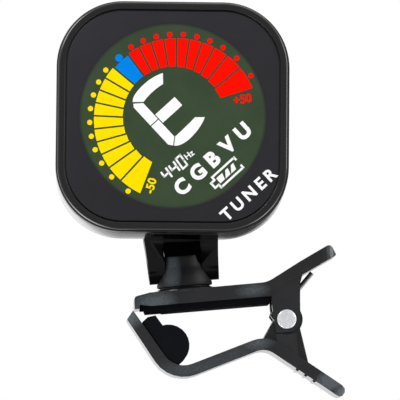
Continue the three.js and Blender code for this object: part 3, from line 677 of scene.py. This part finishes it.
def back_case():
    """The hollow shell behind the bezel: a turntable, holes for screws and buttons, and a row of slots."""
    sections = [shell(0.1, SEAM_BACK), shell(0, SEAM_BACK + 0.1)]
    for i in range(9):
        angle = math.pi / 16 * i
        sections.append(shell(RIM * (1 - math.cos(angle)), BACK - RIM * (1 - math.sin(angle))))
    case = piece("case_back", *loft(sections), HEAD, "head", "casing_plastic", "back_case")
    cavity = tool(*prism(rounded_square(22.4, 12.1), -16, BACK - 1.6), HEAD)
    combine(case, [cavity])
    combine(case, [tool(*turntable(), HEAD)], "UNION")
    cuts = [tool(*lathe([(0, -3.1), (DOOR + 0.3, -3.1), (DOOR + 0.3, 1), (0, 1)], 96), HEAD)]
    cuts.append(tool(*lathe([(0, -7.2), (WELL, -7.2), (WELL, 1), (0, 1)], 96), HEAD))
    for x, z in SCREWS:
        hole = [(0, -14), (1.15, -14), (1.15, -6.7), (2.0, -6.7)]
        hole += [(2.0, -5.75), (2.25, -5.4), (2.25, -4), (0, -4)]
        cuts.append(tool(*lathe(hole, 40, (x, z)), HEAD))
    for x, z in BUTTONS.values():
        hole = [(0, -9), (3.05, -9), (3.05, -5.8), (3.4, -5.45), (3.4, -4), (0, -4)]
        cuts.append(tool(*lathe(hole, 56, (x, z)), HEAD))
    for x in (-3.2, -1.6, 0, 1.6, 3.2):
        cuts.append(tool(*prism(slot_outline(x, -20.4, 0.7, 2.6, True), -6.1, -4), HEAD))
    combine(case, cuts)
    smooth(case, 30)


def slot_outline(x, z, width, length, upright=False):
    """A slot with round ends, centred at (x, z)."""
    reach, radius = (length - width) / 2, width / 2
    ends = arc((reach, 0), radius, -90, 90, 8) + arc((-reach, 0), radius, 90, 270, 8)
    return [(x - b, z + a) if upright else (x + a, z + b) for a, b in ends]


def turntable():
    """The round boss on the head's back that the yoke's ring turns on, with the retaining ring's groove."""
    rim = [(TURNTABLE - 0.4 + 0.4 * math.cos(a), TURNTABLE_BACK - 0.4 + 0.4 * math.sin(a))
           for a in (math.pi / 12 * i for i in range(7))]
    profile = [(0, -8.1), (12.2, -8.1), (12.2, -6.5), (TURNTABLE, -6.5), (TURNTABLE, -2.5)]
    profile += [(12.75, -2.5), (12.75, -1.65), (TURNTABLE, -1.65)] + rim + [(0, TURNTABLE_BACK)]
    return lathe(profile, 128)


def battery_door():
    """The round door in the turntable: a dished face with a coin slot in a bridge, and an arrow."""
    angles = [math.pi / 8 * i for i in range(5)]
    edge = [(DOOR - 0.3 + 0.3 * math.cos(a), -1.4 + 0.3 * math.sin(a)) for a in angles]
    dish = [(10.3, -1.1), (10.0, -1.35), (0, -1.35)]
    door = piece("door", *lathe([(0, -2.9), (DOOR, -2.9)] + edge + dish, 128), HEAD,
                 "battery_door", "casing_plastic", "battery_door")
    bridge = tool(*prism(slot_outline(0, 0, 4.6, 15.5), -1.6, -1.12), HEAD)
    combine(door, [bridge], "UNION")
    coin = slot_outline(0, 0, 1.7, 10.6)
    arrow = [(-1.1, -7.2), (1.1, -7.2), (0, -8.8)]
    combine(door, [tool(*prism(coin, -2.2, 0), HEAD), tool(*prism(arrow, -1.55, 0), HEAD)])
    smooth(door, 30)


def buttons():
    for name, (x, z) in BUTTONS.items():
        profile = [(0, -7.8), (3.6, -7.8), (3.6, -7.35), (2.75, -7.35)]
        profile += [(2.75, -5.45), (2.68, -5.25), (2.5, -5.12), (2.1, -5.02)]
        profile += [(1.6, -5.05), (0.8, -5.12), (0, -5.14)]
        cap = piece(name + "_key", *lathe(profile, 72, (x, z)), HEAD, name + "_button", "button_rubber",
                    name + "_button")
        marks = power_mark(x, z) if name == "power" else mode_mark(x, z)
        combine(cap, [tool(*prism(mark, -5.2, -5.01), HEAD) for mark in marks], "UNION")
        smooth(cap, 30)


def power_mark(x, z):
    """A broken circle with a bar through its gap; seen from behind, so it is mirrored by nature."""
    outer = arc((x, z - 0.1), 1.15, 125, 415, 32)
    inner = arc((x, z - 0.1), 0.85, 415, 125, 32)
    return [outer + inner, slot_outline(x, z + 0.75, 0.3, 1.3, True)]


def mode_mark(x, z):
    """Three short bars, the mark of a choice of modes."""
    return [slot_outline(x, z + rise, 0.3, 2.0) for rise in (-0.7, 0, 0.7)]


def case_screws():
    for i, (x, z) in enumerate(SCREWS):
        head = [(0.9, -6.55), (1.75, -6.55), (1.75, -6.3), (1.62, -6.02), (1.3, -5.86), (0, -5.85)]
        profile = [(0, -16.1), (0.5, -16.1), (0.9, -15.6)] + head
        screw = piece(f"screw_{i + 1}", *lathe(profile, 40, (x, z)), HEAD, "head", "dark_steel",
                      f"case_screw_{i + 1}")
        turn = math.radians(25 + 70 * i)
        cross = [tool(*drive_slot(x, z, turn + quarter), HEAD) for quarter in (0, math.pi / 2)]
        combine(screw, cross)
        smooth(screw, 30)


def drive_slot(x, z, turn):
    """One tapering slot of a cross recess, with its floor smaller than its mouth."""
    def corners(length, width, y):
        flat = [(-length, -width), (length, -width), (length, width), (-length, width)]
        return y, [(x + a * math.cos(turn) - b * math.sin(turn), z + a * math.sin(turn) + b * math.cos(turn))
                   for a, b in flat]
    return loft([corners(0.45, 0.12, -6.45), corners(1.05, 0.22, -5.7)])


def retaining_ring():
    """An open ring in the turntable's groove, with a small hole near each end."""
    outer, inner, gap = 15.2, 12.95, 14
    start, finish = -90 + gap, 270 - gap
    outline = arc((0, 0), outer, start, finish, 120) + arc((0, 0), inner, finish, start, 120)
    ring = piece("snap_ring", *prism(outline, -2.4, -1.8), HEAD, "head", "dark_steel", "retaining_ring")
    hole = [(0, -3), (0.42, -3), (0.42, -1), (0, -1)]
    hole_radius, hole_inset = 0.93 * outer, 3.2
    for angle in (start + hole_inset, finish - hole_inset):
        place = (hole_radius * math.cos(math.radians(angle)), hole_radius * math.sin(math.radians(angle)))
        combine(ring, [tool(*lathe(hole, 24, place), HEAD)])
    soften(ring, 0.08, 2)


def friction_washer():
    profile = [(13.6, -5.3), (16.8, -5.3), (16.8, -4.9), (13.6, -4.9)]
    washer = piece("washer_ring", *ring_lathe(profile, 128), HEAD, "yoke", "washer_nylon", "friction_washer")
    smooth(washer)


# ---- Display: r to the right and u upwards on the display, which is turned in the head ----

DISPLAY_TURN = math.radians(43.15)
DISC_FACE = WINDOW_FACE - 0.04
LIT_HEIGHT, SINK = 0.04, 0.02
GAUGE = (0.02, -1.15)
BAR_GAP = 0.36


def on_head(points):
    c, s = math.cos(DISPLAY_TURN), math.sin(DISPLAY_TURN)
    return [(r * c - u * s, r * s + u * c) for r, u in points]


def segment(name, points, color):
    """A lit area of the display: a thin plate on its face."""
    plate = prism(on_head(points), DISC_FACE - LIT_HEIGHT, DISC_FACE + SINK)
    paint(piece(name, *plate, HEAD, "head", "display_glass"), LIT[color])


def around_gauge(radius, start, end):
    """Points on the gauge's circle; angles in degrees clockwise from its top."""
    steps = 8
    angles = [math.radians(start + (end - start) * i / steps) for i in range(steps + 1)]
    return [(GAUGE[0] + radius * math.sin(a), GAUGE[1] + radius * math.cos(a)) for a in angles]


def gauge_bar(name, start, end, color, lean=0.0, outer=17.0):
    """One bar of the gauge; bars reach further in towards its ends, and `lean` turns one inner corner in."""
    inner = 10.35 + math.cos(math.radians((start + end) / 2))
    inner_gap = math.degrees(BAR_GAP / 2 / inner)
    outer_gap = math.degrees(BAR_GAP / 2 / outer)
    near = around_gauge(inner, start + inner_gap + max(lean, 0), end - inner_gap + min(lean, 0))
    far = around_gauge(outer, end - outer_gap, start + outer_gap)
    segment(name, near + far, color)


def gauge():
    left, right = -7.4, 6.4
    yellow_reaches = [9.3] * 7 + [10.6, 12.0, 16.8]
    red_reaches = [9.05] * 7 + [10.5, 12.5, 17.3]
    gauge_bar("bar_centre", left, right, "blue", outer=16.7)
    segment("dot_centre", circle(0.78, around_gauge(17.5, 0, 1)[0], 32), "blue")
    sides = ((-1, -left, "yellow", yellow_reaches), (1, right, "red", red_reaches))
    for side, edge, color, reaches in sides:
        for i, reach in enumerate(reaches):
            start, end = sorted((side * edge, side * (edge + reach)))
            lean = -3.2 * side if reach == reaches[-1] else 0.0
            gauge_bar(f"bar_{color}_{i + 1}", start, end, color, lean)
            middle = around_gauge(17.85, (start + end) / 2, end)[0]
            segment(f"dot_{color}_{i + 1}", circle(0.55, middle, 28), color)
            edge += reach


def note_letter():
    """The big letter of the note, made of five bars with mitred ends."""
    bars = {
        "spine_upper": [(-4.61, 6.95), (-4.14, 7.58), (-2.55, 6.31), (-2.55, 1.86), (-4.61, 1.86)],
        "spine_lower": [(-4.61, 1.64), (-2.55, 1.64), (-2.55, -3.13), (-3.98, -4.33), (-4.61, -3.5)],
        "arm_top": bezier((-3.98, 7.9), (-3.2, 9.1), (0.3, 9.1), 8)
        + bezier((0.3, 9.1), (2.6, 9.1), (4.67, 8.2), 6)
        + [(3.17, 6.47)] + bezier((3.0, 6.5), (0.4, 7.0), (-2.33, 6.45), 6),
        "arm_middle": [(-2.33, 0.56), (3.08, 0.56), (3.08, 2.88), (-2.33, 2.88)],
        "arm_bottom": bezier((-2.39, -3.25), (0.4, -3.25), (3.33, -3.06), 4) + [(4.82, -4.4)]
        + bezier((4.6, -4.5), (2.4, -5.6), (-0.8, -5.6), 6)
        + bezier((-0.8, -5.6), (-3.0, -5.5), (-3.85, -4.5), 6)[1:],
    }
    for name, points in bars.items():
        segment("note_" + name, [(r - 0.13, u - 0.25) for r, u in points], "white")


def bezier(start, control, end, steps=8):
    points = []
    for i in range(steps + 1):
        t = i / steps
        points.append(tuple((1 - t) ** 2 * a + 2 * t * (1 - t) * b + t * t * c
                            for a, b, c in zip(start, control, end)))
    return points


def bar(start, end, width):
    """A straight stroke with square ends."""
    along = Vector(end) - Vector(start)
    side = Vector((-along.y, along.x)).normalized() * (width / 2)
    corners = (Vector(start) + side, Vector(start) - side, Vector(end) - side, Vector(end) + side)
    return [tuple(corner) for corner in corners]


def digit(name, place, size, shape):
    """A seven-segment digit at `place`, its lower left corner."""
    slant, width = 0.12, 0.42
    wide, tall = size
    corners = {"a": ((0, 2), (1, 2)), "b": ((1, 2), (1, 1)), "c": ((1, 1), (1, 0)), "d": ((0, 0), (1, 0)),
               "e": ((0, 1), (0, 0)), "f": ((0, 2), (0, 1)), "g": ((0, 1), (1, 1))}
    for key in shape:
        ends = []
        for across, up in corners[key]:
            x = place[0] + across * wide
            z = place[1] + up * tall / 2
            ends.append((x + slant * (z - place[1]), z))
        along = (Vector(ends[1]) - Vector(ends[0])).normalized() * (width * 0.42)
        ends = [tuple(Vector(ends[0]) - along), tuple(Vector(ends[1]) + along)]
        segment(f"pitch_{name}_{key}", bar(*ends, width), "white")


def pitch():
    digit("first", (-9.95, -9.1), (1.3, 2.0), "bcfg")
    digit("second", (-7.9, -9.2), (1.3, 2.0), "bcfg")
    digit("zero", (-5.9, -9.5), (1.2, 2.5), "abcdef")


def lettering(name, text, place, height, turn=0.0, color="white", weight=0.0, spacing=1.0):
    """Generic characters, centred at `place` on the display; `turn` is in degrees."""
    curve = bpy.data.curves.new(name, "FONT")
    curve.body = text
    curve.size = 1.0
    curve.space_character = spacing
    curve.offset = weight
    curve.extrude = 0.02
    curve.resolution_u = 4
    shown = bpy.data.objects.new(name, curve)
    bpy.context.scene.collection.objects.link(shown)
    bpy.context.view_layer.update()
    mesh = bpy.data.meshes.new_from_object(shown.evaluated_get(bpy.context.evaluated_depsgraph_get()))
    bpy.data.objects.remove(shown)
    xs = [vertex.co.x for vertex in mesh.vertices]
    ys = [vertex.co.y for vertex in mesh.vertices]
    scale = height / (max(ys) - min(ys))
    middle = ((max(xs) + min(xs)) / 2, (max(ys) + min(ys)) / 2)
    c, s = math.cos(math.radians(turn)), math.sin(math.radians(turn))
    for vertex in mesh.vertices:
        r, u = (vertex.co.x - middle[0]) * scale, (vertex.co.y - middle[1]) * scale
        (x, z), = on_head([(place[0] + r * c - u * s, place[1] + r * s + u * c)])
        y = DISC_FACE - LIT_HEIGHT if vertex.co.z > 0 else WINDOW_FACE + SINK
        vertex.co = (HEAD @ Vector((x, y, z))) * MM
    made = bpy.data.objects.new(name, mesh)
    bpy.context.scene.collection.objects.link(made)
    outward(mesh)
    dress(made, "head", "display_glass")
    paint(made, LIT[color])


def battery_mark():
    """A battery's outline, open at one end, with three slanted bars for its charge."""
    top, bottom, left, right, width = -14.85, -17.65, -2.7, 3.4, 0.45
    tip = left - 1.0
    strokes = [
        ((left, top), (right, top)),
        ((left, bottom), (right, bottom)),
        ((right, top + 0.22), (right, top - 0.75)),
        ((right, bottom - 0.22), (right, bottom + 0.75)),
        ((left, top + 0.22), (left, top - 0.85)),
        ((left, bottom - 0.22), (left, bottom + 0.85)),
        ((left + 0.2, top - 0.75), (tip, top - 0.75)),
        ((left + 0.2, bottom + 0.75), (tip, bottom + 0.75)),
        ((tip, top - 0.53), (tip, bottom + 0.53)),
    ]
    for i, ends in enumerate(strokes):
        segment(f"charge_line_{i + 1}", bar(*ends, width), "white")
    low, high, lean = bottom + 0.72, top - 0.72, 0.75
    for i in range(3):
        start = -2.0 + i * 1.55
        foot, top_corner = start - 0.35, start + lean
        if i == 0:
            foot = top_corner = start - 0.25
        end = start + 1.0
        quad = [(foot, low), (end, low), (end + lean * 0.6, high), (top_corner, high)]
        segment(f"charge_bar_{i + 1}", quad, "white")


def display():
    centre, radius = (0, 0.05), 19.45
    plate = prism(circle(radius, centre, 128), DISC_FACE, WINDOW_FACE + SINK)
    disc = piece("display_disc", *plate, HEAD, "head", "display_glass")
    disc.data.polygons.foreach_set("use_smooth", [False] * len(disc.data.polygons))
    middle = HEAD @ Vector((centre[0], DISC_FACE, centre[1]))
    fade_rim(MATERIALS["display_glass"], middle, radius, 0.9, (*CHARCOAL, 1))
    gauge()
    note_letter()
    pitch()
    lettering("pitch_unit", "Hz", (-2.95, -8.2), 1.3, -4, weight=0.02)
    for letter, place in zip("CGBVU", (-8.55, -4.15, 0.0, 4.2, 8.45)):
        lettering("mode_" + letter, letter, (place, -12.1), 3.35, weight=0.05)
    lettering("cents_flat", "-50", (-13.15, -7.6), 1.85, 32, "yellow", 0.03)
    lettering("cents_sharp", "+50", (12.95, -7.1), 1.85, -32, "red", 0.03)
    battery_mark()
    lettering("front_word", "TUNER", (0.45, -22.5), 2.6, spacing=1.44, weight=0.03)


# ---- Stage ----

# Soft patches of the studio's light: direction, the cosine at its edge, and the strength it adds.
STUDIO_PATCHES = [
    ((-0.71, -0.05, -0.70), 0.86, 7.0),
    ((0.71, -0.05, -0.70), 0.90, 4.0),
    ((0.80, 0.60, 0.0), 0.75, -1.0),
    ((-0.55, 0.50, 0.66), 0.75, -1.0),
    ((0.12, 0.973, -0.20), 0.9935, -1.4),
]
LEAST_LIGHT = 0.05


def stage():
    floor_z = -0.062
    bpy.ops.mesh.primitive_plane_add(size=6, location=(0, 0, floor_z))
    floor = bpy.context.object
    floor.name = "floor"
    pale = surface("floor_pale", (0.80, 0.80, 0.80), 0.7, patch=0.01, patch_size=200.0)
    floor.data.materials.append(pale)
    floor.visible_glossy = False
    studio_world()
    soft_light("key", (-0.7, -0.5, 0.9), 0.6, 9.0)
    soft_light("side", (0.9, -0.3, 0.3), 0.5, 3.0)
    bpy.context.scene.view_settings.view_transform = "Standard"


def towards(tree, where, direction):
    """How far the world's direction points along another, as a socket."""
    made = node(tree, "ShaderNodeVectorMath", operation="DOT_PRODUCT")
    made.inputs[1].default_value = direction
    tree.links.new(where.outputs["Generated"], made.inputs[0])
    return made.outputs["Value"]


def studio_world():
    """Plain white to the camera. As light it is full from behind and dimmer from in front, with a
    backdrop behind that darkens to one side and low down, and soft brighter or darker patches."""
    world = bpy.data.worlds.new("studio")
    bpy.context.scene.world = world
    world.use_nodes = True
    tree = world.node_tree
    light = tree.nodes["Background"]
    sight = node(tree, "ShaderNodeBackground", Color=(1, 1, 1, 1), Strength=1.0)
    where = node(tree, "ShaderNodeTexCoord")
    split = node(tree, "ShaderNodeSeparateXYZ")
    rays = node(tree, "ShaderNodeLightPath")
    both = node(tree, "ShaderNodeMixShader")
    tree.links.new(where.outputs["Generated"], split.inputs["Vector"])
    depth = ranged(tree, split.outputs["Y"], -0.95, 0.1, 0.30, 1.0)
    # The backdrop takes over towards +Y; it darkens on the +X side and just below the horizon.
    behind = ranged(tree, split.outputs["Y"], 0.80, 0.93, 0.0, 1.0)
    aside = ranged(tree, towards(tree, where, (1, 0, -0.4)), 0.085, 0.16, 1.10, 0.10)
    right = ranged(tree, split.outputs["X"], -0.15, 0.03, 0.35, 0.72)
    low = node(tree, "ShaderNodeMath", operation="MULTIPLY_ADD")
    tree.links.new(ranged(tree, split.outputs["Z"], -0.16, -0.10, -1.0, 0.0), low.inputs[0])
    tree.links.new(right, low.inputs[1])
    low.inputs[2].default_value = 1.0
    shaded = node(tree, "ShaderNodeMath", operation="MULTIPLY")
    tree.links.new(aside, shaded.inputs[0])
    tree.links.new(low.outputs[0], shaded.inputs[1])
    mixed = node(tree, "ShaderNodeMix")
    tree.links.new(behind, mixed.inputs[0])
    tree.links.new(depth, mixed.inputs[2])
    tree.links.new(shaded.outputs[0], mixed.inputs[3])
    total = mixed.outputs[0]
    for direction, edge, strength in STUDIO_PATCHES:
        add = node(tree, "ShaderNodeMath", operation="ADD")
        glow = ranged(tree, towards(tree, where, direction), edge, 1.0, 0.0, strength)
        tree.links.new(glow, add.inputs[0])
        tree.links.new(total, add.inputs[1])
        total = add.outputs[0]
    dimmest = node(tree, "ShaderNodeMath", operation="MAXIMUM")
    dimmest.inputs[1].default_value = LEAST_LIGHT
    tree.links.new(total, dimmest.inputs[0])
    tree.links.new(dimmest.outputs[0], light.inputs["Strength"])
    light.inputs["Color"].default_value = (1, 1, 1, 1)
    tree.links.new(rays.outputs["Is Camera Ray"], both.inputs["Fac"])
    tree.links.new(light.outputs["Background"], both.inputs[1])
    tree.links.new(sight.outputs["Background"], both.inputs[2])
    tree.links.new(both.outputs["Shader"], tree.nodes["World Output"].inputs["Surface"])


def soft_light(name, place, size, power):
    data = bpy.data.lights.new(name, "AREA")
    data.size = size
    data.energy = power
    lamp = bpy.data.objects.new(name, data)
    bpy.context.scene.collection.objects.link(lamp)
    lamp.location = place
    aim = Vector((0, 0, 0.02)) - Vector(place)
    lamp.rotation_euler = aim.to_track_quat("-Z", "Y").to_euler()
    lamp.visible_camera = False


def camera():
    azimuth, elevation, roll = math.radians(-2.0), math.radians(-3.5), math.radians(4.8)
    target = Vector((4.46, -6.75, 22.49)) * MM
    distance, seen_width, sensor = 1.2, 0.0828, 36.0
    back = Vector((
        math.sin(azimuth) * math.cos(elevation),
        -math.cos(azimuth) * math.cos(elevation),
        math.sin(elevation),
    ))
    up = Vector((math.sin(roll), 0, math.cos(roll)))
    right = up.cross(back).normalized()
    up = back.cross(right)
    data = bpy.data.cameras.new("camera")
    data.sensor_width = sensor
    data.lens = sensor * distance / seen_width
    data.clip_start, data.clip_end = 0.05, 20
    cam = bpy.data.objects.new("camera", data)
    bpy.context.scene.collection.objects.link(cam)
    turn = Matrix((right, up, back)).transposed().to_4x4()
    cam.matrix_world = Matrix.Translation(target + back * distance) @ turn
    bpy.context.scene.camera = cam


stage()
camera()
# Painted highlights: pale sheen patches on the clip's and the knuckle's plastic.
for plastic in (MATERIALS["clip_plastic"], DULL):
    paint_sheen(plastic, PAINTED_SHEENS, SHEEN_COLOR)

front_bezel()
window()
display()
back_case()
battery_door()
buttons()
case_screws()
retaining_ring()
friction_washer()
yoke()
tilt_pin()
knuckle()
swivel_washer()
rivet()
spring()

finish_cad_nodes()
